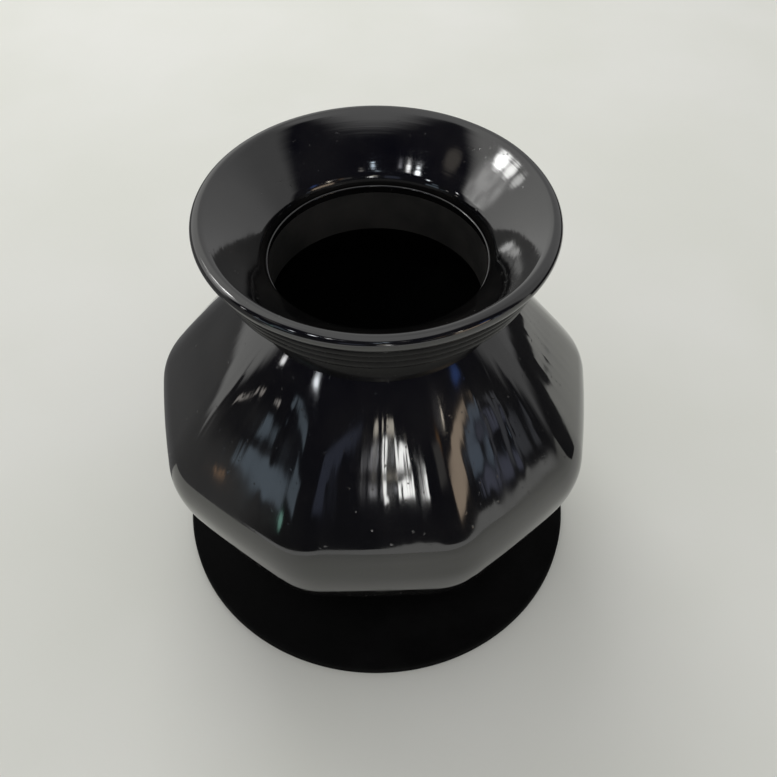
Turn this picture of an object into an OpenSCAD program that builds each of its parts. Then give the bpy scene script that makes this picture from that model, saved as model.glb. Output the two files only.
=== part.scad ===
// Burnished black clay pot with a flared mouth and a panelled belly, on a loose round stand.
// The pot is built up from clay parts that meet in rebates and spigots, luted with slip.
// The origin is on the floor, on the pot's axis. The front of the pot faces -Y.

/* [Stand] */
// Radius of the stand at the floor
stand_r = 58.5; // [57.5:0.5:61]
// Height of the stand's outer edge
stand_edge_h = 3.5; // [3:0.5:5]
// Height of the rim round the dished seat
stand_h = 10; // [8:0.5:12]
// Thickness of the stand under the pot
seat_h = 4; // [3:0.5:5]

/* [Belly] */
// Radius of the belly at the corners of its panels
belly_r = 59.8; // [58:0.2:60.4]
// Height of the widest part above the floor
belly_z = 52; // [50:0.5:54]
// Radius of the flat base
foot_r = 20; // [16:0.5:24]
// Fullness of the bowl below the widest part: 2 is an ellipse, less is more conical
bowl_fullness = 1.75; // [1.6:0.05:2]
// Radius of the turn above the widest part, seen from the side
turn_r = 17; // [14:0.5:20]
// Tilt of the shoulder's panels, from upright
shoulder_tilt = 40; // [39.5:0.5:42]
// Number of flat panels pressed into the belly
panel_count = 9; // [8:1:10]
// Turn of the first corner from the +X axis
panel_phase = 12.5; // [0:0.5:40]
// How flat the panels are: 0 is round, 1 is flat
panel_depth = 0.8; // [0.3:0.05:1]
// Share of each panel that is taken up by the rounding of a corner
corner_round = 0.3; // [0.1:0.05:0.5]
// Thickness of the belly's wall
wall = 3.3; // [3:0.1:3.8]

/* [Neck] */
// Outer radius of the neck
neck_r = 29.3; // [29:0.1:29.8]
// Radius of the hollow where shoulder and neck meet
neck_fillet = 5; // [4:0.5:5]

/* [Mouth] */
// Inner radius at the throat
throat_r = 26.3; // [26:0.1:26.5]
// Slope of the flare where it meets the lip
lip_slope = 38; // [36:1:40]
// Slope of the flare where the rounding of the throat starts
cone_slope = 47; // [45:1:49]
// Radius of the rounding of the throat
throat_round = 6; // [5:0.5:6.5]
// Radius of the lip
lip_r = 42; // [41:0.1:43]
// Height of the lip above the floor
lip_z = 118; // [117:0.1:119]
// Radius of the rounding of the lip
lip_round = 1.9; // [1.7:0.1:2]

/* [Collar] */
// Number of beads turned on the collar
bead_count = 3; // [2:1:3]
// Radius of the upper bead's section
bead_r = 1.4; // [1.1:0.05:1.45]
// Growth of each lower bead's section
bead_growth = 0.4; // [0:0.05:0.45]
// Tilt of the row of beads, from upright
bead_tilt = 28; // [26:1:32]

/* [Hidden] */

clay = "#26272b";
clay_dark = "#1b1c20";
matte_black = "#0b0b0c";

$fn = 96;

// Joints between the clay parts
seam_drop = 5;
lap_h = 2.5;
spigot_gap = 0.2;
spigot_wall = 1.9;
spigot_drop = 3;
rebate_w = 1.6;
rebate_h = 2;

// Steps of the faceted belly, round the axis and along each stretch of its outline
steps_per_panel = 10;
ring_steps = panel_count * steps_per_panel;
bowl_steps = 10;
lap_steps = 2;
turn_steps = 4;
cone_steps = 5;

// Heights between which the panels fade in above the base, and out below the neck
fade_in_low = 8;
fade_in_high = 28;
fade_out_low = 76;

// The belly below the widest part is part of a superellipse that ends at the flat base
bowl_power = 2 / bowl_fullness;
bowl_drop = (belly_z - seat_h) / pow(1 - pow(foot_r / belly_r, bowl_fullness), 1 / bowl_fullness);
foot_angle = acos(pow(foot_r / belly_r, 1 / bowl_power));
function drop_angle(h) = asin(pow(h / bowl_drop, 1 / bowl_power));
seam_angle = drop_angle(seam_drop);

// The shoulder is a turn, a straight stretch, and the start of the hollow under the neck
turn_end_r = belly_r - turn_r + turn_r * cos(shoulder_tilt);
turn_end_z = belly_z + turn_r * sin(shoulder_tilt);
hollow_r = neck_r + neck_fillet;
shoulder_top_r = hollow_r - neck_fillet * cos(shoulder_tilt);
shoulder_len = (turn_end_r - shoulder_top_r) / sin(shoulder_tilt);
shoulder_top_z = turn_end_z + shoulder_len * cos(shoulder_tilt);
hollow_z = shoulder_top_z + neck_fillet * sin(shoulder_tilt);
socket_r = throat_r + spigot_wall + spigot_gap;

// The lip is a bead whose centre is on the end of the flare
lip_centre = [lip_r - lip_round, lip_z - lip_round];
flare_end = lip_centre + lip_round * [-sin(lip_slope), cos(lip_slope)];
throat_slope = 85;
cone_end_r = throat_r + throat_round * (sin(throat_slope) - sin(cone_slope));
flare_r = (flare_end[0] - cone_end_r) / (sin(cone_slope) - sin(lip_slope));
cone_end_z = flare_end[1] - flare_r * (cos(lip_slope) - cos(cone_slope));
throat_z = cone_end_z - throat_round * (cos(cone_slope) - cos(throat_slope));

function smooth(x) = let (t = min(max(x, 0), 1)) t * t * (3 - 2 * t);

// How far the round section has become a panelled one at height z
function panelled(z) = smooth((z - fade_in_low) / (fade_in_high - fade_in_low))
    * (1 - smooth((z - fade_out_low) / (shoulder_top_z - fade_out_low)));

// Share of the corner radius that a flat panel with rounded corners leaves at angle a
panel_half = 180 / panel_count;
function soften(x) = x < 1 - corner_round ? x : x - pow(x - 1 + corner_round, 2) / (2 * corner_round);
function panel_share(a) =
    let (turned = (a - panel_phase) / (2 * panel_half))
    let (x = 2 * abs(turned - floor(turned) - 0.5))
    cos((1 - corner_round / 2) * panel_half) / cos(soften(x) * panel_half);

// Points of the belly's outline, [r, z], moved inwards by t
function bowl_line_at(s) =
    [belly_r * pow(cos(s), bowl_power), belly_z - bowl_drop * pow(sin(s), bowl_power)];
function bowl_point(s, t) =
    let (near = 0.5)
    let (run = bowl_line_at(s + near) - bowl_line_at(max(s - near, 0)))
    bowl_line_at(s) - t * [-run[1], run[0]] / norm(run);
function turn_point(s, t) =
    [belly_r - turn_r + (turn_r - t) * cos(s), belly_z + (turn_r - t) * sin(s)];
function cone_point(d, t) = [
    turn_end_r - d * sin(shoulder_tilt) - t * cos(shoulder_tilt),
    turn_end_z + d * cos(shoulder_tilt) - t * sin(shoulder_tilt)
];

function step_between(a, b, i, n) = a + (b - a) * i / n;
function reversed(list) = [for (i = [len(list) - 1 : -1 : 0]) list[i]];

// Outline of the bowl's wall from the foot up to the seam
function bowl_line(t, top_angle) =
    [for (i = [0 : bowl_steps]) bowl_point(step_between(foot_angle, top_angle, i, bowl_steps), t)];

// Outline of the shoulder's wall from the seam up to the neck
function shoulder_line(t, low_angle, len) = concat(
    [for (i = [0 : lap_steps - 1]) bowl_point(step_between(low_angle, 0, i, lap_steps), t)],
    [for (i = [0 : turn_steps - 1]) turn_point(step_between(0, shoulder_tilt, i, turn_steps), t)],
    [for (i = [0 : cone_steps]) cone_point(step_between(0, len, i, cone_steps), t)]
);

// Solid turned from an outline, with the panels pressed in. An outline that starts and ends
// on the axis closes there, and any other outline is a ring.
module panelled_solid(outline) {
    n = len(outline);
    on_axis = outline[0][0] == 0;
    last = on_axis ? n - 2 : n - 1;
    points = [
        for (j = [0 : ring_steps - 1])
        let (a = 360 * j / ring_steps)
        let (share = panel_share(a))
        for (p = outline)
        let (r = p[0] * (1 - panel_depth * panelled(p[1]) * (1 - share)))
        [r * cos(a), r * sin(a), p[1]]
    ];
    faces = [
        for (j = [0 : ring_steps - 1])
        let (k = (j + 1) % ring_steps)
        for (i = [0 : last])
        let (m = (i + 1) % n)
        for (face = [[j * n + i, j * n + m, k * n + m], [j * n + i, k * n + m, k * n + i]])
        face
    ];
    first_pole = [for (f = faces) [for (v = f) on_axis && v % n == 0 ? 0 : v]];
    poled = [for (f = first_pole) [for (v = f) on_axis && v % n == n - 1 ? n - 1 : v]];
    polyhedron(points, [for (f = poled) if (f[0] != f[1] && f[1] != f[2] && f[2] != f[0]) f]);
}

// Low turned stand: flat below, falling to a thin edge, with a dished seat for the base
module round_stand() {
    dish_gap = 0.4;
    dish_steps = 5;
    dish_end_angle = 60;
    dish_angles = [for (i = [0 : dish_steps]) step_between(foot_angle, dish_end_angle, i, dish_steps)];
    dish = [for (s = dish_angles) let (p = bowl_point(s, -dish_gap)) if (p[1] < stand_h) p];
    crest_r = 36;
    crest_land = 8;
    crest_fall = 1.2;
    edge_round = 1.2;
    color(matte_black)
        rotate_extrude()
            polygon(concat(
                [[0, 0], [stand_r, 0]],
                [[stand_r, stand_edge_h - edge_round], [stand_r - edge_round, stand_edge_h]],
                [[crest_r + crest_land, stand_h - crest_fall], [crest_r, stand_h]],
                reversed(dish),
                [[foot_r + dish_gap, seat_h], [0, seat_h]]
            ));
}

// Bowl with a flat base. The inner half of its rim stands up as the tongue of the lap joint.
module lower_bowl() {
    tongue_angle = drop_angle(seam_drop - lap_h);
    outer = bowl_line(0, seam_angle);
    inner = bowl_line(wall, tongue_angle);
    mid_low = bowl_point(seam_angle, wall / 2);
    mid_high = bowl_point(tongue_angle, wall / 2);
    seam_z = outer[bowl_steps][1];
    tongue_z = inner[bowl_steps][1];
    base_top = inner[0][1];
    color(clay_dark)
        panelled_solid(concat(
            [[0, seat_h]],
            outer,
            [[mid_low[0], seam_z], [mid_high[0], tongue_z]],
            reversed(inner),
            [[0, base_top]]
        ));
}

// Shoulder with flat panels that fade out below the neck
module lobed_shoulder() {
    tongue_angle = drop_angle(seam_drop - lap_h);
    inner_len = shoulder_len - (socket_r - shoulder_top_r + wall * cos(shoulder_tilt))
        / sin(shoulder_tilt);
    outer = shoulder_line(0, seam_angle, shoulder_len);
    inner = shoulder_line(wall, tongue_angle, inner_len);
    mid_low = bowl_point(seam_angle, wall / 2);
    mid_high = bowl_point(tongue_angle, wall / 2);
    seam_z = outer[0][1];
    tongue_z = inner[0][1];
    color(clay)
        panelled_solid(concat(
            outer,
            [[socket_r, shoulder_top_z]],
            reversed(inner),
            [[mid_high[0], tongue_z], [mid_low[0], seam_z]]
        ));
}

// Short neck with a hollowed outside, standing in the shoulder's socket
module neck_ring() {
    hollow_steps = 5;
    hollow = [for (i = [0 : hollow_steps])
        let (s = step_between(shoulder_tilt, 0, i, hollow_steps))
        [hollow_r - neck_fillet * cos(s), hollow_z - neck_fillet * sin(s)]];
    rebate_r = throat_r + rebate_w;
    color(clay)
        rotate_extrude()
            polygon(concat(
                [[throat_r, shoulder_top_z - spigot_drop]],
                [[throat_r + spigot_wall, shoulder_top_z - spigot_drop]],
                [[throat_r + spigot_wall, shoulder_top_z]],
                hollow,
                [[neck_r, throat_z], [rebate_r, throat_z]],
                [[rebate_r, throat_z - rebate_h], [throat_r, throat_z - rebate_h]]
            ));
}

// The trumpet of the mouth is a slightly hollow cone that rounds over into the throat
mouth_wall = neck_r - throat_r;
lip_wall = 2 * lip_round;
cone_rings = 6;
round_rings = 8;
flare_slopes = concat(
    [for (i = [0 : round_rings - 1]) step_between(throat_slope, cone_slope, i, round_rings)],
    [for (i = [0 : cone_rings]) step_between(cone_slope, lip_slope, i, cone_rings)]
);
function flare_point(s) = s > cone_slope
    ? [throat_r + throat_round * (sin(throat_slope) - sin(s)),
       throat_z + throat_round * (cos(s) - cos(throat_slope))]
    : [cone_end_r + flare_r * (sin(cone_slope) - sin(s)),
       cone_end_z + flare_r * (cos(s) - cos(cone_slope))];
function flare_under(s) =
    let (t = (throat_slope - s) / (throat_slope - lip_slope))
    flare_point(s) + [sin(s), -cos(s)] * (mouth_wall + (lip_wall - mouth_wall) * t);

// Thin flared mouth with a rounded lip, and a spigot that drops into the neck
module flared_mouth() {
    inside = [for (s = flare_slopes) flare_point(s)];
    under = [for (s = reversed(flare_slopes)) let (p = flare_under(s)) if (p[1] > throat_z) p];
    lip_arc = [75 : -15 : -45];
    lip = [for (s = lip_arc) lip_centre + lip_round * [cos(s), sin(s)]];
    rebate_r = throat_r + rebate_w;
    color(clay)
        rotate_extrude()
            polygon(concat(
                [[throat_r, throat_z - rebate_h]],
                [[throat_r, throat_z]],
                inside,
                lip,
                under,
                [[neck_r, throat_z], [rebate_r, throat_z], [rebate_r, throat_z - rebate_h]]
            ));
}

// Coil of clay under the lip, with beads turned on its outside, each larger than the one above.
// It is seated against the underside of the flare, ring by ring, from the throat's rounding to a share
// of the last stretch before the lip, and the upper bead starts where the seat ends.
seat_share = 0.4;
seat_touch = 45;
function seat_ring(i) = flare_under(step_between(cone_slope, lip_slope, i, cone_rings));
seat_end = seat_ring(cone_rings - 1) * (1 - seat_share) + seat_ring(cone_rings) * seat_share;
function bead_size(b) = bead_r + bead_growth * b;
function bead_down(b) = b == 0 ? 0 : bead_down(b - 1) + bead_size(b - 1) + bead_size(b);
function bead_centre(b) =
    seat_end - bead_r * [cos(seat_touch), sin(seat_touch)]
    - [sin(bead_tilt), cos(bead_tilt)] * bead_down(b);
module lip_collar() {
    bead_arc = [50 : -20 : -110];
    beads = [for (b = [0 : bead_count - 1], s = bead_arc)
        if (b > 0 || s < seat_touch) bead_centre(b) + bead_size(b) * [cos(s), sin(s)]];
    seat = concat([for (i = [0 : cone_rings - 1]) seat_ring(i)], [seat_end]);
    color(clay_dark)
        rotate_extrude()
            polygon(concat(beads, seat));
}

round_stand();
lower_bowl();
lobed_shoulder();
neck_ring();
flared_mouth();
lip_collar();
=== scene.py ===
import random
from math import acos, asin, atan2, cos, degrees, floor, hypot, pi, radians, sin, sqrt

import bmesh
import bpy
from mathutils import Matrix, Vector, noise


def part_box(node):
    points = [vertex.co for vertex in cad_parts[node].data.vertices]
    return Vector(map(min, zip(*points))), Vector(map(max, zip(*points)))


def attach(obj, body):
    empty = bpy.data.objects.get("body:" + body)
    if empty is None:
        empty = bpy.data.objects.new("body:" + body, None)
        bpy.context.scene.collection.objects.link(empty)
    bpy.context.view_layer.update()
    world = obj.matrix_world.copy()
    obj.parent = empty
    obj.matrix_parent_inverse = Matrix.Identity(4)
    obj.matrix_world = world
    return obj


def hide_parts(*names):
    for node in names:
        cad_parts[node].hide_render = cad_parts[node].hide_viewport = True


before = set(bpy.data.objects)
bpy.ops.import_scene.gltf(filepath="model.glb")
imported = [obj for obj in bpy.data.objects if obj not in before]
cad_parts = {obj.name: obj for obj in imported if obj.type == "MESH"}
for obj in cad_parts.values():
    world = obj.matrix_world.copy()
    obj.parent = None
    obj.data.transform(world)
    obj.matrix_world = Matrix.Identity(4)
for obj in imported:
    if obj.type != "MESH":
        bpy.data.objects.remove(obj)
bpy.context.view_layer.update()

# ---------------------------------------------------------------------------
# Round stand. A low disc of matt black board under the pot, dished on top to
# take the round base. It lies loose on the table, and the pot only rests on it.
# ---------------------------------------------------------------------------
MM = 0.001
ON_AXIS = 1e-6
_, stand_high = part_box("round_stand")
bowl_low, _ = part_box("lower_bowl")
STAND_R = stand_high.x / MM
STAND_H = stand_high.z / MM
SEAT_H = bowl_low.z / MM
STAND_CHAMFER = 0.4
STAND_EDGE_H = 3.5
STAND_EDGE_ROUND = 1.2
STAND_CREST_R = 36
STAND_LAND_R = 44
STAND_LAND_H = 8.8
STAND_STEPS = 192
DISH_GAP = 0.4
DISH_EDGE_DROP = 0.2

BELLY_R = 59.8
BELLY_Z = 52
FOOT_R = 20
FULLNESS = 1.75
BOWL_POWER = 2 / FULLNESS
HALF_STEP = radians(0.5)
BOWL_DROP = (BELLY_Z - SEAT_H) / (1 - (FOOT_R / BELLY_R) ** FULLNESS) ** (1 / FULLNESS)
FOOT_ANGLE = acos((FOOT_R / BELLY_R) ** (1 / BOWL_POWER))


def bowl_side(angle):
    """A point (radius, height) of the bowl's outside. The foot is at FOOT_ANGLE, the widest part at 0."""
    angle = max(angle, 0)
    return (BELLY_R * cos(angle) ** BOWL_POWER, BELLY_Z - BOWL_DROP * sin(angle) ** BOWL_POWER)


def bowl_wall(angle, depth):
    """The same point moved inwards by depth, at right angles to the outside."""
    r0, z0 = bowl_side(angle + HALF_STEP)
    r1, z1 = bowl_side(angle - HALF_STEP)
    run = hypot(r1 - r0, z1 - z0)
    r, z = bowl_side(angle)
    return (r - depth * (z1 - z0) / run, z + depth * (r1 - r0) / run)


def between(a, b, count):
    """Evenly spaced values from a to b."""
    return [a + (b - a) * i / count for i in range(count + 1)]


def arc(centre, radius, start, end, count):
    """Points (radius, height) on an arc, with angles in degrees."""
    return [(centre[0] + radius * cos(radians(s)), centre[1] + radius * sin(radians(s)))
            for s in between(start, end, count)]


def turned(outline, steps):
    """Turns a closed outline of (radius, height) points, in millimetres, round the upright axis."""
    bm = bmesh.new()
    points = [bm.verts.new((r * MM, 0, z * MM)) for r, z in outline]
    for a, b in zip(points, points[1:] + points[:1]):
        if a.co.x > 0 or b.co.x > 0:
            bm.edges.new((a, b))
    bmesh.ops.spin(bm, geom=bm.verts[:] + bm.edges[:], cent=(0, 0, 0), axis=(0, 0, 1),
                   angle=2 * pi, steps=steps, use_merge=True, use_duplicate=False)
    bmesh.ops.remove_doubles(bm, verts=bm.verts[:], dist=ON_AXIS)
    bmesh.ops.recalc_face_normals(bm, faces=bm.faces[:])
    return bm


def soft(x):
    """Runs from 0 to 1 with soft ends."""
    t = min(max(x, 0), 1)
    return t * t * (3 - 2 * t)


# Each stretch of heights adds its share of the lean, in millimetres: (share, height it starts at, run)
BELLY_LEAN = -0.3
LEANS = ((0.4, 35, -25), (1.1, 70, 30), (-0.3, 107, 9))


def lean(bm):
    """Hand-built parts never stand quite on one axis: shifts each height a little to the side."""
    for v in bm.verts:
        z = v.co.z / MM
        v.co.x += MM * (BELLY_LEAN + sum(share * soft((z - start) / run) for share, start, run in LEANS))


FLAT_UP = 0.98


def set_down(name, bm, finish, inside=None, crease=35):
    """Makes the finished piece from its mesh, smooth but for edges sharper than crease degrees.
    A second finish goes on the faces that look at the upright axis, when it is given."""
    for face in bm.faces:
        face.smooth = True
        middle = face.calc_center_median()
        inward = middle.x * face.normal.x + middle.y * face.normal.y < 0
        face.material_index = 1 if inside and (inward or face.normal.z > FLAT_UP) else 0
    for edge in bm.edges:
        edge.smooth = edge.calc_face_angle(0) < radians(crease)
    mesh = bpy.data.meshes.new(name)
    bm.to_mesh(mesh)
    bm.free()
    mesh.materials.append(finish)
    if inside:
        mesh.materials.append(inside)
    piece = bpy.data.objects.new(name, mesh)
    bpy.context.scene.collection.objects.link(piece)
    return piece


class Strand:
    """One value in a finish's node tree. Python's sums and products on it add their own Math nodes."""

    def __init__(self, batch, socket):
        self.batch = batch
        self.socket = socket

    def join(self, operation, a, b=0.0):
        return self.batch.add("ShaderNodeMath", {"operation": operation}, {0: a, 1: b})

    def __add__(self, other):
        return self.join("ADD", self, other)

    def __sub__(self, other):
        return self.join("SUBTRACT", self, other)

    def __rsub__(self, other):
        return self.join("SUBTRACT", other, self)

    def __mul__(self, other):
        return self.join("MULTIPLY", self, other)

    def __truediv__(self, other):
        return self.join("DIVIDE", self, other)

    __radd__ = __add__
    __rmul__ = __mul__


class Batch:
    """The node tree of one finish, or of the room."""

    def __init__(self, owner):
        owner.use_nodes = True
        self.tree = owner.node_tree
        self.tree.nodes.clear()

    def add(self, kind, settings=None, inputs=None, out=0):
        """Adds a node: its type, its settings, and then the values or links of its sockets."""
        node = self.tree.nodes.new(kind)
        for key, value in (settings or {}).items():
            setattr(node, key, value)
        for key, value in (inputs or {}).items():
            if isinstance(value, Strand):
                self.tree.links.new(value.socket, node.inputs[key])
            else:
                node.inputs[key].default_value = value
        return Strand(self, node.outputs[out]) if node.outputs else node

    def places(self):
        """The x, y and z of the surface in the piece's own coordinates, as three strands and a vector."""
        place = self.add("ShaderNodeTexCoord", out="Object")
        split = self.add("ShaderNodeSeparateXYZ", inputs={0: place}).socket.node
        return [Strand(self, split.outputs[i]) for i in range(3)], place

    def cloud(self, vector, scale, detail=2.0, rough=0.5):
        """Soft noise from 0 to 1."""
        return self.add("ShaderNodeTexNoise", inputs={
            "Vector": vector, "Scale": scale, "Detail": detail, "Roughness": rough})

    def spread(self, value, low, high, to_low=0.0, to_high=1.0):
        """Spreads a value from low..high over to_low..to_high, with soft ends."""
        return self.add("ShaderNodeMapRange", {"interpolation_type": "SMOOTHSTEP"}, {
            0: value, 1: low, 2: high, 3: to_low, 4: to_high})

    def colours(self, factor, first, second):
        """Mixes two colours."""
        node = self.add("ShaderNodeMix", {"data_type": "RGBA"}).socket.node
        for key, value in ((0, factor), (6, first), (7, second)):
            if isinstance(value, Strand):
                self.tree.links.new(value.socket, node.inputs[key])
            else:
                node.inputs[key].default_value = value if key == 0 else (*value, 1)
        return Strand(self, node.outputs[2])


def matt_black(name):
    """Matt black board: a soft dead black with a faint dusty grain."""
    finish = bpy.data.materials.new(name)
    mix = Batch(finish)
    _, place = mix.places()
    grain = mix.cloud(place, 900, 3)
    dust = mix.spread(mix.cloud(place, 60, 4, 0.6), 0.45, 0.8)
    colour = mix.colours(dust, (0.0012, 0.0012, 0.0013), (0.0030, 0.0030, 0.0032))
    normal = mix.add("ShaderNodeBump", inputs={"Strength": 0.25, "Distance": 0.0002, "Height": grain})
    skin = mix.add("ShaderNodeBsdfPrincipled", inputs={
        "Base Color": colour, "Roughness": 0.82 + 0.1 * grain, "Normal": normal,
        "Specular IOR Level": 0.12})
    mix.add("ShaderNodeOutputMaterial", inputs={"Surface": skin})
    return finish


dish = [bowl_wall(s, -DISH_GAP) for s in between(FOOT_ANGLE, radians(60), 16)]
stand_edge = (STAND_R - STAND_EDGE_ROUND, STAND_EDGE_H - STAND_EDGE_ROUND)
slope_foot = (STAND_R - 6, STAND_EDGE_H + 0.9)
slope_head = (STAND_LAND_R + 5, STAND_LAND_H - 1.6)
crest_side = (STAND_LAND_R - 4, STAND_H - 0.3)
stand_outline = (
    [(0, 0), (STAND_R - STAND_CHAMFER, 0), (STAND_R, STAND_CHAMFER)]
    + arc(stand_edge, STAND_EDGE_ROUND, 0, 75, 6)
    + [slope_foot, slope_head, (STAND_LAND_R, STAND_LAND_H)]
    + [crest_side, (STAND_CREST_R, STAND_H)]
    + [p for p in reversed(dish) if p[1] < STAND_H - DISH_EDGE_DROP]
    + [(FOOT_R + DISH_GAP, SEAT_H), (0, SEAT_H)]
)
bm = turned(stand_outline, STAND_STEPS)
lean(bm)
stand = set_down("round_stand_board", bm, matt_black("matt_black_board"))
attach(stand, "stand")
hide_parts("round_stand")

# ---------------------------------------------------------------------------
# Lower bowl. Clay pressed in a mould, with a flat base. Its rim stands up
# inside as a tongue that the shoulder is luted over. Burnished with a stone.
# ---------------------------------------------------------------------------
WALL = 3.3
SEAM_DROP = 5
LAP_H = 2.5
PANELS = 9
PANEL_PHASE = 12.5
PANEL_DEPTH = 0.8
CORNER_ROUND = 0.3
TURN_R = 17
FOOT_TILT = radians(35)
TOP_TILT = radians(45)
NECK_TILT = radians(40)
NECK_R = 29.3
NECK_FILLET = 5
THROAT_R = 26.3
HOLLOW_R = NECK_R + NECK_FILLET
TURN_END = (BELLY_R - TURN_R + TURN_R * cos(FOOT_TILT), BELLY_Z + TURN_R * sin(FOOT_TILT))
SHOULDER_TOP_R = HOLLOW_R - NECK_FILLET * cos(NECK_TILT)
SHOULDER_R = (TURN_END[0] - SHOULDER_TOP_R) / (cos(FOOT_TILT) - cos(TOP_TILT))
SHOULDER_TOP_Z = TURN_END[1] + SHOULDER_R * (sin(TOP_TILT) - sin(FOOT_TILT))
STROKES = 84
STROKE_DEPTH = 0.026
STROKE_SHIFT = 0.3
STROKE_SWAY = 0.006
WAVE = 0.06
BELLY_STEPS = 504

# Heights between which the panels, the strokes and the hand's waves come in and go out again
PANEL_IN = (8, 28)
PANEL_OUT = (76, SHOULDER_TOP_Z)
STROKE_IN = (61, 70)
STROKE_OUT = (86, 93)
WAVE_IN = (52, 62)
WAVE_OUT = (86, 92)
SMOOTH_BELOW = 50

dice = random.Random(11)
stroke_edges = [(k + STROKE_SHIFT * dice.uniform(-1, 1)) / STROKES for k in range(STROKES)]
stroke_cuts = [dice.uniform(0.35, 1.25) for _ in range(STROKES)]


def panel_share(angle):
    """Share of the corner radius that a flat panel with a rounded corner leaves at this angle."""
    half = pi / PANELS
    turned_by = (degrees(angle) - PANEL_PHASE) / (360 / PANELS)
    x = 2 * abs(turned_by - floor(turned_by) - 0.5)
    if x > 1 - CORNER_ROUND:
        x -= (x - 1 + CORNER_ROUND) ** 2 / (2 * CORNER_ROUND)
    return cos((1 - CORNER_ROUND / 2) * half) / cos(x * half)


def stroke_cut(angle, z):
    """Depth of the burnishing stone's strokes, which run up and down as narrow flats."""
    sway = STROKE_SWAY * noise.noise(Vector((2 * cos(angle), 2 * sin(angle), z / 14)))
    turn = (angle / (2 * pi) + sway) % 1.0
    k = int(turn * STROKES)
    if turn < stroke_edges[k]:
        k -= 1
    low = stroke_edges[k] - (1 if k < 0 else 0)
    k %= STROKES
    high = stroke_edges[(k + 1) % STROKES] + (1 if k == STROKES - 1 and low >= 0 else 0)
    x = 2 * (turn - low) / (high - low) - 1
    return STROKE_DEPTH * stroke_cuts[k] * (1 - x * x)


def fade(z, fade_in, fade_out):
    """Runs from 0 to 1 over the first stretch of heights, and back to 0 over the second."""
    return soft((z - fade_in[0]) / (fade_in[1] - fade_in[0])) * (
        1 - soft((z - fade_out[0]) / (fade_out[1] - fade_out[0])))


def press_panels(bm):
    """Presses the flat panels into the belly, and draws the burnishing strokes on its outside."""
    for v in bm.verts:
        r = hypot(v.co.x, v.co.y)
        if r < ON_AXIS:
            continue
        z = v.co.z / MM
        angle = atan2(v.co.y, v.co.x)
        flat = PANEL_DEPTH * fade(z, PANEL_IN, PANEL_OUT)
        new = r * (1 - flat * (1 - panel_share(angle)))
        outside = r > wall_middle(z) * MM
        if outside and z > SMOOTH_BELOW:
            new -= MM * stroke_cut(angle, z) * fade(z, STROKE_IN, STROKE_OUT)
            wave = noise.noise(Vector((5 * cos(angle), 5 * sin(angle), z / 9)))
            new += WAVE * MM * wave * fade(z, WAVE_IN, WAVE_OUT)
        v.co.x *= new / r
        v.co.y *= new / r


def wall_middle(z):
    """Radius of the middle of the belly's wall at a height, to tell its outside from its inside."""
    if z < BELLY_Z:
        drop = min((BELLY_Z - z) / BOWL_DROP, 1)
        return BELLY_R * (1 - drop ** FULLNESS) ** (1 / FULLNESS) - WALL / 2
    if z < TURN_END[1]:
        return BELLY_R - TURN_R + sqrt(TURN_R ** 2 - (z - BELLY_Z) ** 2) - WALL / 2
    tilt = asin(min(sin(FOOT_TILT) + (z - TURN_END[1]) / SHOULDER_R, 1))
    return TURN_END[0] - SHOULDER_R * (cos(FOOT_TILT) - cos(tilt)) - WALL / 2


def burnished_clay(name, strokes, index=1.9, dullness=0.0):
    """Fired black clay, rubbed with a stone to a dark mirror. strokes: along (up and down) or round.
    A lower index mirrors less, and dullness blurs what it mirrors."""
    finish = bpy.data.materials.new(name)
    mix = Batch(finish)
    (x, y, z), place = mix.places()
    r = mix.add("ShaderNodeMath", {"operation": "SQRT"}, {0: x * x + y * y})
    if strokes == "along":
        lines = mix.add("ShaderNodeCombineXYZ", inputs={0: x / r * 26, 1: y / r * 26, 2: z * 30})
        wide = mix.add("ShaderNodeCombineXYZ", inputs={0: x / r * 9, 1: y / r * 9, 2: z * 45})
    else:
        lines = mix.add("ShaderNodeCombineXYZ", inputs={
            0: x / r * 1.2, 1: y / r * 1.2, 2: r * 900 + z * 700})
        wide = mix.add("ShaderNodeCombineXYZ", inputs={
            0: x / r * 1.5, 1: y / r * 1.5, 2: r * 170 + z * 150})
    fine = mix.cloud(lines, 1, 3, 0.6)
    bands = mix.cloud(wide, 1, 2)
    smoke = mix.cloud(place, 38, 4, 0.6)
    pits = mix.spread(mix.cloud(place, 700, 2), 0.68, 0.8)
    body = mix.colours(mix.spread(smoke, 0.35, 0.7), (0.0030, 0.0030, 0.0034), (0.0095, 0.0090, 0.0088))
    colour = mix.colours(pits, body, (0.020, 0.019, 0.018))
    rough = (dullness + 0.05 + 0.06 * mix.spread(bands, 0.35, 0.75) + 0.05 * mix.spread(smoke, 0.5, 0.75)
             + 0.25 * pits)
    height = fine * 0.35 + bands * 0.5 + smoke * 0.4 - pits * 0.5
    normal = mix.add("ShaderNodeBump", inputs={"Strength": 0.3, "Distance": 0.00010, "Height": height})
    skin = mix.add("ShaderNodeBsdfPrincipled", inputs={
        "Base Color": colour, "Roughness": rough, "Normal": normal, "IOR": index})
    mix.add("ShaderNodeOutputMaterial", inputs={"Surface": skin})
    return finish


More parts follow.
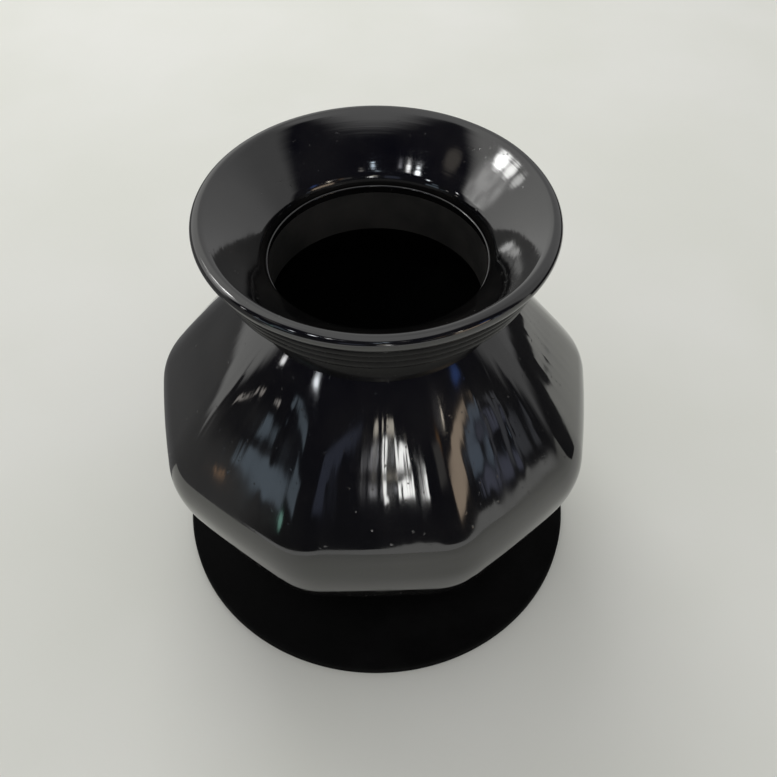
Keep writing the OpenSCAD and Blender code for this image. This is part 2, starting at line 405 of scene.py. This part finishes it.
def raw_clay(name, rough, tone):
    """The unburnished inside: dull smoked clay with wiping marks round the axis."""
    finish = bpy.data.materials.new(name)
    mix = Batch(finish)
    (x, y, z), place = mix.places()
    r = mix.add("ShaderNodeMath", {"operation": "SQRT"}, {0: x * x + y * y})
    rings = mix.cloud(mix.add("ShaderNodeCombineXYZ", inputs={0: x / r, 1: y / r, 2: z * 420}), 1, 3)
    soot = mix.cloud(place, 55, 4, 0.6)
    sooty = (tone * 2.2, tone * 2.1, tone * 2.0)
    colour = mix.colours(mix.spread(soot, 0.3, 0.75), (tone, tone, tone), sooty)
    height = rings * 0.6 + mix.cloud(place, 420, 3) * 0.5
    normal = mix.add("ShaderNodeBump", inputs={"Strength": 0.5, "Distance": 0.0003, "Height": height})
    skin = mix.add("ShaderNodeBsdfPrincipled", inputs={
        "Base Color": colour, "Roughness": rough + 0.12 * soot, "Normal": normal, "IOR": 1.5})
    mix.add("ShaderNodeOutputMaterial", inputs={"Surface": skin})
    return finish


def lap_angle(drop):
    """Angle on the bowl's side at this drop below the widest part."""
    return asin((drop / BOWL_DROP) ** (1 / BOWL_POWER))


clay_belly = burnished_clay("burnished_clay_belly", "along")
clay_inside = raw_clay("raw_clay_inside", 0.75, 0.0022)
seam = lap_angle(SEAM_DROP)
tongue = lap_angle(SEAM_DROP - LAP_H)
outer = [bowl_side(s) for s in between(FOOT_ANGLE, seam, 44)]
inner = [bowl_wall(s, WALL) for s in between(FOOT_ANGLE, tongue, 12)]
step_low = (bowl_wall(seam, WALL / 2)[0], outer[-1][1])
step_high = (bowl_wall(tongue, WALL / 2)[0], inner[-1][1])
bowl_outline = [(0, SEAT_H)] + outer + [step_low, step_high] + list(reversed(inner)) + [(0, inner[0][1])]
bm = turned(bowl_outline, BELLY_STEPS)
press_panels(bm)
lean(bm)
bowl = set_down("lower_bowl_clay", bm, clay_belly, clay_inside)
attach(bowl, "pot")
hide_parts("lower_bowl")

# ---------------------------------------------------------------------------
# Lobed shoulder. Pressed flat between nine soft corners, luted over the
# bowl's tongue below, and burnished upwards with narrow strokes of a stone.
# ---------------------------------------------------------------------------
SPIGOT_WALL = 1.9
SPIGOT_GAP = 0.2
SOCKET_R = THROAT_R + SPIGOT_WALL + SPIGOT_GAP
LAP_STEPS = 6


def shoulder_wall(depth, low_angle, top_tilt, turn_count, run_count):
    """Outline of the shoulder from the seam up, moved inwards by depth: a tight turn, then a slack one."""
    low, high = degrees(FOOT_TILT), degrees(top_tilt)
    lap = [bowl_wall(s, depth) for s in between(low_angle, 0, LAP_STEPS)[:-1]]
    turn = arc((BELLY_R - TURN_R, BELLY_Z), TURN_R - depth, 0, low, turn_count)[:-1]
    slack_middle = (TURN_END[0] - SHOULDER_R * cos(FOOT_TILT), TURN_END[1] - SHOULDER_R * sin(FOOT_TILT))
    return lap + turn + arc(slack_middle, SHOULDER_R - depth, low, high, run_count)


inner_tilt = acos((SOCKET_R - TURN_END[0] + SHOULDER_R * cos(FOOT_TILT)) / (SHOULDER_R - WALL))
outer = shoulder_wall(0, seam, TOP_TILT, 16, 36)
inner = shoulder_wall(WALL, tongue, inner_tilt, 5, 8)
shoulder_outline = outer + [(SOCKET_R, SHOULDER_TOP_Z)] + list(reversed(inner))
shoulder_outline += [(step_high[0], inner[0][1]), (step_low[0], outer[0][1])]
bm = turned(shoulder_outline, BELLY_STEPS)
press_panels(bm)
lean(bm)
shoulder = set_down("lobed_shoulder_clay", bm, clay_belly, clay_inside)
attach(shoulder, "pot")
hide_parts("lobed_shoulder")

# ---------------------------------------------------------------------------
# Neck ring. A short coil of clay smoothed into a round neck. Its spigot
# drops into the shoulder's socket, and its top is rebated for the mouth.
# Its outside mirrors less under the lip: its duller finish is painted shade.
# ---------------------------------------------------------------------------
_, mouth_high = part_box("flared_mouth")
LIP_R = mouth_high.x / MM
LIP_Z = mouth_high.z / MM
LIP_ROUND = 1.9
LIP_SLOPE = radians(38)
CONE_SLOPE = radians(47)
THROAT_SLOPE = radians(85)
THROAT_ROUND = 6
REBATE_W = 1.6
REBATE_H = 2
SPIGOT_DROP = 3
ROUND_STEPS = 256
lip_centre = (LIP_R - LIP_ROUND, LIP_Z - LIP_ROUND)
flare_end = (lip_centre[0] - LIP_ROUND * sin(LIP_SLOPE), lip_centre[1] + LIP_ROUND * cos(LIP_SLOPE))
CONE_END_R = THROAT_R + THROAT_ROUND * (sin(THROAT_SLOPE) - sin(CONE_SLOPE))
FLARE_R = (flare_end[0] - CONE_END_R) / (sin(CONE_SLOPE) - sin(LIP_SLOPE))
CONE_END_Z = flare_end[1] - FLARE_R * (cos(LIP_SLOPE) - cos(CONE_SLOPE))
THROAT_Z = CONE_END_Z - THROAT_ROUND * (cos(CONE_SLOPE) - cos(THROAT_SLOPE))
HOLLOW_Z = SHOULDER_TOP_Z + NECK_FILLET * sin(NECK_TILT)

clay_round = burnished_clay("burnished_clay_turned", "round")
# A lower index and some dullness darken what the clay mirrors under the lip: painted shade on the neck's
# outside and the collar.
clay_painted_shade = burnished_clay("burnished_clay_painted_shade_under_lip", "round", 1.3, 0.15)
clay_neck = raw_clay("raw_clay_neck", 0.30, 0.022)
spigot_low = SHOULDER_TOP_Z - SPIGOT_DROP
spigot_r = THROAT_R + SPIGOT_WALL
rebate_r = THROAT_R + REBATE_W
rebate_low = THROAT_Z - REBATE_H
hollow = [(HOLLOW_R - NECK_FILLET * cos(s), HOLLOW_Z - NECK_FILLET * sin(s))
          for s in between(NECK_TILT, 0, 10)]
neck_outline = (
    [(THROAT_R, spigot_low), (spigot_r, spigot_low), (spigot_r, SHOULDER_TOP_Z)]
    + hollow
    + [(NECK_R, THROAT_Z), (rebate_r, THROAT_Z), (rebate_r, rebate_low), (THROAT_R, rebate_low)]
)
bm = turned(neck_outline, ROUND_STEPS)
lean(bm)
neck = set_down("neck_ring_clay", bm, clay_painted_shade, clay_neck)
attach(neck, "pot")
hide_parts("neck_ring")

# ---------------------------------------------------------------------------
# Flared mouth. Thrown thin like the bell of a trumpet with a rounded lip,
# luted on the neck by a short spigot, and burnished round and round inside.
# A fine raised edge runs round the throat, where mouth and neck were joined.
# ---------------------------------------------------------------------------
MOUTH_WALL = NECK_R - THROAT_R
EDGE_R = 0.35
EDGE_DROP = 0.1
MOUTH_WAVE = 0.10


def flare(slope):
    """A point (radius, height) of the flare's inside where it has this slope."""
    if slope > CONE_SLOPE:
        return (THROAT_R + THROAT_ROUND * (sin(THROAT_SLOPE) - sin(slope)),
                THROAT_Z + THROAT_ROUND * (cos(slope) - cos(THROAT_SLOPE)))
    return (CONE_END_R + FLARE_R * (sin(CONE_SLOPE) - sin(slope)),
            CONE_END_Z + FLARE_R * (cos(slope) - cos(CONE_SLOPE)))


def flare_under(slope):
    """The point of the flare's outside below it."""
    share = (THROAT_SLOPE - slope) / (THROAT_SLOPE - LIP_SLOPE)
    thick = MOUTH_WALL + (2 * LIP_ROUND - MOUTH_WALL) * share
    r, z = flare(slope)
    return (r + thick * sin(slope), z - thick * cos(slope))


slopes = between(THROAT_SLOPE, CONE_SLOPE, 20)[:-1] + between(CONE_SLOPE, LIP_SLOPE, 36)
under = [flare_under(s) for s in reversed(slopes[::4])]
mouth_outline = (
    [(THROAT_R, rebate_low)]
    + arc((THROAT_R, THROAT_Z - EDGE_DROP), EDGE_R, 260, 95, 9)
    + [flare(s) for s in slopes]
    + arc(lip_centre, LIP_ROUND, 110, -50, 24)
    + [p for p in under if p[1] > THROAT_Z]
    + [(NECK_R, THROAT_Z), (rebate_r, THROAT_Z), (rebate_r, rebate_low)]
)
bm = turned(mouth_outline, ROUND_STEPS)
for v in bm.verts:
    angle = atan2(v.co.y, v.co.x)
    z = v.co.z / MM
    wave = noise.noise(Vector((2.2 * cos(angle), 2.2 * sin(angle), z / 8)))
    v.co.z += MOUTH_WAVE * MM * wave * soft((z - THROAT_Z) / 6)
lean(bm)
mouth = set_down("flared_mouth_clay", bm, clay_round)
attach(mouth, "pot")
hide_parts("flared_mouth")

# ---------------------------------------------------------------------------
# Lip collar. A coil of clay luted under the lip and turned into three beads,
# each thicker than the one above. It mirrors less than the mouth above it, as painted shade under the lip.
# ---------------------------------------------------------------------------
BEADS = 3
BEAD_R = 1.35
BEAD_GROWTH = 0.32
BEAD_TILT = radians(28)
SEAT_HIGH = LIP_SLOPE + radians(0.9)
SEAT_TOUCH = radians(45)

seat_end = flare_under(SEAT_HIGH)
beads = []
down = 0
for b in range(BEADS):
    size = BEAD_R + BEAD_GROWTH * b
    if b:
        down += size + size - BEAD_GROWTH
    centre = (seat_end[0] - BEAD_R * cos(SEAT_TOUCH) - sin(BEAD_TILT) * down,
              seat_end[1] - BEAD_R * sin(SEAT_TOUCH) - cos(BEAD_TILT) * down)
    beads += arc(centre, size, 50 if b else 35, -110, 16)
collar_outline = beads + [flare_under(s) for s in between(CONE_SLOPE, SEAT_HIGH, 8)]
bm = turned(collar_outline, ROUND_STEPS)
lean(bm)
collar = set_down("lip_collar_clay", bm, clay_painted_shade)
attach(collar, "pot")
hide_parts("lip_collar")

# ---------------------------------------------------------------------------
# Table. A plain pale sheet that the stand lies on, cut into a grid of tiles.
# The clay mirrors only some of them: past those it mirrors the room instead.
# ---------------------------------------------------------------------------


def pale_sheet(name):
    """Smooth pale paint with faint clouds in it."""
    finish = bpy.data.materials.new(name)
    mix = Batch(finish)
    _, place = mix.places()
    clouds = mix.cloud(place, 9, 3)
    colour = mix.colours(mix.spread(clouds, 0.3, 0.7), (0.74, 0.745, 0.70), (0.78, 0.78, 0.75))
    grain = mix.cloud(place, 1500, 2)
    normal = mix.add("ShaderNodeBump", inputs={"Strength": 0.1, "Distance": 0.0001, "Height": grain})
    skin = mix.add("ShaderNodeBsdfPrincipled", inputs={
        "Base Color": colour, "Roughness": 0.7, "Normal": normal, "Specular IOR Level": 0.2})
    mix.add("ShaderNodeOutputMaterial", inputs={"Surface": skin})
    return finish


table_finish = pale_sheet("pale_sheet")
TABLE_X = (-4, -0.2, -0.08, 0.27, 4)
TABLE_Y = (-4, -0.9, 0, 0.45, 4)
MIRRORED = ((1, 0), (2, 0), (3, 0), (1, 1), (2, 1), (3, 1), (2, 2))

for i in range(len(TABLE_X) - 1):
    for j in range(len(TABLE_Y) - 1):
        size_x = TABLE_X[i + 1] - TABLE_X[i]
        size_y = TABLE_Y[j + 1] - TABLE_Y[j]
        bm = bmesh.new()
        bmesh.ops.create_grid(bm, x_segments=1, y_segments=1, size=0.5)
        bmesh.ops.translate(bm, vec=(0.5, 0.5, 0), verts=bm.verts[:])
        bmesh.ops.scale(bm, vec=(size_x, size_y, 1), verts=bm.verts[:])
        bmesh.ops.translate(bm, vec=(TABLE_X[i], TABLE_Y[j], 0), verts=bm.verts[:])
        sheet = set_down(f"table_{i}{j}", bm, table_finish)
        sheet.visible_glossy = (i, j) in MIRRORED

# ---------------------------------------------------------------------------
# Light. Everything but gloss sees an even pale light. Gloss sees a painted
# room instead: pale overhead and behind, dark in front with windows and lamps.
# ---------------------------------------------------------------------------
world = bpy.data.worlds.new("pale_ceiling_dark_front")
bpy.context.scene.world = world
sky = Batch(world)
way = sky.add("ShaderNodeTexCoord", out="Generated")
parts = sky.add("ShaderNodeSeparateXYZ", inputs={0: way}).socket.node
way_x, way_y, way_z = (Strand(sky, parts.outputs[i]) for i in range(3))
DEGREES = 180 / pi
azimuth = sky.add("ShaderNodeMath", {"operation": "ARCTAN2"}, {0: way_x, 1: 0 - way_y}) * DEGREES
height = sky.add("ShaderNodeMath", {"operation": "ARCSINE"}, {0: way_z}) * DEGREES


def lit(base, colour, mask):
    """Lays a colour over what the clay mirrors so far, where the mask is 1."""
    return sky.colours(mask, base, colour)


def glow_at(azimuth_at, height_at, near, far):
    """A round glow about a direction, full out to near degrees and gone at far degrees."""
    to = (cos(radians(height_at)) * sin(radians(azimuth_at)),
          -cos(radians(height_at)) * cos(radians(azimuth_at)), sin(radians(height_at)))
    dot = sky.add("ShaderNodeVectorMath", {"operation": "DOT_PRODUCT"}, {0: way, 1: to}, out=1)
    return sky.spread(dot, cos(radians(far)), cos(radians(near)))


def window(left, right_side, low, high, soft_edge):
    """An upright window or doorway between two azimuths and two heights, with soft sides."""
    sides = sky.spread(azimuth, left - soft_edge, left + soft_edge) * sky.spread(
        azimuth, right_side - soft_edge, right_side + soft_edge, 1.0, 0.0)
    ends = sky.spread(height, low - soft_edge, low + soft_edge) * sky.spread(
        height, high - soft_edge, high + soft_edge, 1.0, 0.0)
    return sides * ends


# The dark front of the room, its low left side, and then the pale walls behind and the ceiling
above_table = sky.spread(height, -2, 4)
room = sky.colours(sky.spread(height, -10, 45), (0.030, 0.030, 0.032), (0.010, 0.010, 0.026))
room = lit(room, (0.17, 0.17, 0.17), window(-175, -62, -90, 8, 6))
room = lit(room, (0.40, 0.40, 0.40), sky.spread(way_y, -0.12, 0.02) * above_table)
room = lit(room, (0.52, 0.52, 0.52), sky.spread(way_y, 0.2, 0.5) * above_table)
left_behind = sky.spread(way_x, 0.1, -0.3) * sky.spread(way_y, -0.1, 0.05)
room = lit(room, (0.88, 0.88, 0.86), left_behind * above_table)
room = lit(room, (0.70, 0.70, 0.70), sky.spread(height, 61, 69))

# A bright mottled patch on the left, and the far end of the table in front
mottle = sky.add("ShaderNodeTexNoise", inputs={"Vector": way, "Scale": 9.0, "Detail": 3.0})
patch = glow_at(-101, 31, 7, 14) * sky.spread(mottle, 0.35, 0.62, 0.35, 1.0)
room = lit(room, (2.5, 2.5, 2.45), patch)
right_edge = 9.5 - 0.12 * sky.add("ShaderNodeMath", {"operation": "ABSOLUTE"}, {0: azimuth - 8})
edge = sky.add("ShaderNodeMath", {"operation": "MINIMUM"}, {0: right_edge, 1: 7.0 + 0.31 * azimuth})
below = sky.add("ShaderNodeMath", {"operation": "LESS_THAN"}, {0: height, 1: edge})
room = lit(room, (0.72, 0.72, 0.70), below * window(-62, 80, -90, 20, 3))

# Lamps: azimuth, height, full out to, gone at, colour
for azimuth_at, height_at, near, far, colour in (
        (-105, 40.5, 1.5, 4.5, (14, 14, 13.8)),
        (-112, 36, 0.8, 4.0, (9, 9, 8.8)),
        (-119, 31, 0.5, 3.6, (4, 4, 3.9)),
        (-31, 50, 0.8, 2.0, (12, 12, 12)),
        (-41, 46.5, 1.2, 2.6, (14, 14.5, 15)),
        (-22, 52, 0.5, 1.5, (2.0, 2.0, 2.2)),
        (7, 51.5, 0.6, 1.6, (6, 7, 8)),
        (2, 46, 0.8, 2.4, (2.2, 2.6, 3.0)),
        (19, 48, 0.8, 2.2, (1.0, 0.95, 0.9)),
        (5, 24, 1.2, 3.0, (3.0, 2.8, 2.4)),
        (-49, 33, 0.5, 2.2, (10, 10.5, 11)),
        (-78, 24, 0.6, 2.0, (8, 8, 8)),
        (64, 26, 1.5, 4.0, (0.15, 0.30, 0.90)),
        (36, 24, 1.0, 3.5, (0.70, 0.36, 0.14)),
        (48, 26, 0.6, 2.2, (10, 9, 7.5)),
        (-71, 46, 2.0, 6.0, (0.34, 0.31, 0.28)),
        (-56, 4.3, 0.8, 2.2, (0.9, 1.8, 1.5)),
        (-68.7, 1.8, 0.2, 0.8, (1.6, 1.0, 0.6)),
        (-76, 13.4, 0.5, 1.6, (1.5, 1.4, 1.3)),
        (-66, 15.5, 0.5, 1.6, (1.8, 1.7, 1.6))):
    room = lit(room, colour, glow_at(azimuth_at, height_at, near, far))

# Windows and doorways: left, right, low, high, softness of the sides, colour
for left, right_side, low, high, soft_edge, colour in (
        (6.0, 9.2, 17.2, 21.0, 0.4, (9.5, 9.5, 9.3)),
        (1.5, 3.8, 18.2, 20.0, 0.4, (2.2, 2.2, 2.3)),
        (-67.5, -58, 5.0, 11.5, 0.7, (0.50, 0.62, 0.74)),
        (-57, -44, 9.5, 16.5, 0.7, (0.42, 0.52, 0.62)),
        (-57, -51, 20, 24, 0.6, (0.42, 0.52, 0.62)),
        (-19, -5, 15.5, 26, 1.0, (0.15, 0.17, 0.25)),
        (43, 64.5, 9.5, 17.5, 0.6, (1.7, 1.35, 1.02)),
        (26, 37, 19, 25, 0.7, (0.26, 0.25, 0.24)),
        (66, 70, 8, 13, 0.6, (0.42, 0.52, 0.66)),
        (67, 72, 4.0, 7.2, 0.5, (0.32, 0.34, 0.46)),
        (72.8, 77, 4.0, 9.5, 0.6, (0.26, 0.27, 0.30)),
        (40, 48, 26, 30, 0.8, (0.20, 0.20, 0.22))):
    room = lit(room, colour, window(left, right_side, low, high, soft_edge))

PLAIN_LIGHT = (0.655, 0.655, 0.641)
mirrored = sky.add("ShaderNodeLightPath", out="Is Glossy Ray")
seen = sky.colours(mirrored, PLAIN_LIGHT, room)
glow = sky.add("ShaderNodeBackground", inputs={"Color": seen, "Strength": 1.0})
sky.add("ShaderNodeOutputWorld", inputs={"Surface": glow})

# A square soft lamp behind the pot, which the clay doesn't mirror
LAMP_PLACE = Vector((-0.2, 0.5, 0.65))
LAMP_AIM = Vector((-0.12, 0.3, 0))
lamp_data = bpy.data.lights.new("soft_lamp_back", "AREA")
lamp_data.size = 0.45
lamp_data.energy = 2.1
lamp_data.color = (1, 1, 0.98)
lamp = bpy.data.objects.new("soft_lamp_back", lamp_data)
bpy.context.scene.collection.objects.link(lamp)
lamp.location = LAMP_PLACE
lamp.rotation_euler = (LAMP_AIM - LAMP_PLACE).to_track_quat("-Z", "Y").to_euler()
lamp.visible_glossy = False
lamp.visible_camera = False

# ---------------------------------------------------------------------------
# Camera. It looks down on the pot from the front, close by.
# ---------------------------------------------------------------------------
CAMERA_PLACE = Vector((0.00504, -0.16506, 0.24906))
PITCH = radians(49.6)
YAW = radians(-0.54)
ROLL = radians(0.4)
SENSOR = 36
FOCAL_SHARE = 1.184041

ahead = Vector((sin(YAW) * cos(PITCH), cos(YAW) * cos(PITCH), -sin(PITCH)))
right = ahead.cross(Vector((0, 0, 1))).normalized()
up = right.cross(ahead)
camera_data = bpy.data.cameras.new("camera")
camera_data.sensor_width = SENSOR
camera_data.lens = SENSOR * FOCAL_SHARE
camera_data.clip_start = 0.01
camera = bpy.data.objects.new("camera", camera_data)
bpy.context.scene.collection.objects.link(camera)
axes = (cos(ROLL) * right + sin(ROLL) * up, -sin(ROLL) * right + cos(ROLL) * up, -ahead)
turn = Matrix([[a[i] for a in axes] for i in range(3)]).to_4x4()
camera.matrix_world = Matrix.Translation(CAMERA_PLACE) @ turn
bpy.context.scene.camera = camera

view = bpy.context.scene.view_settings
view.view_transform = "Standard"
view.look = "None"
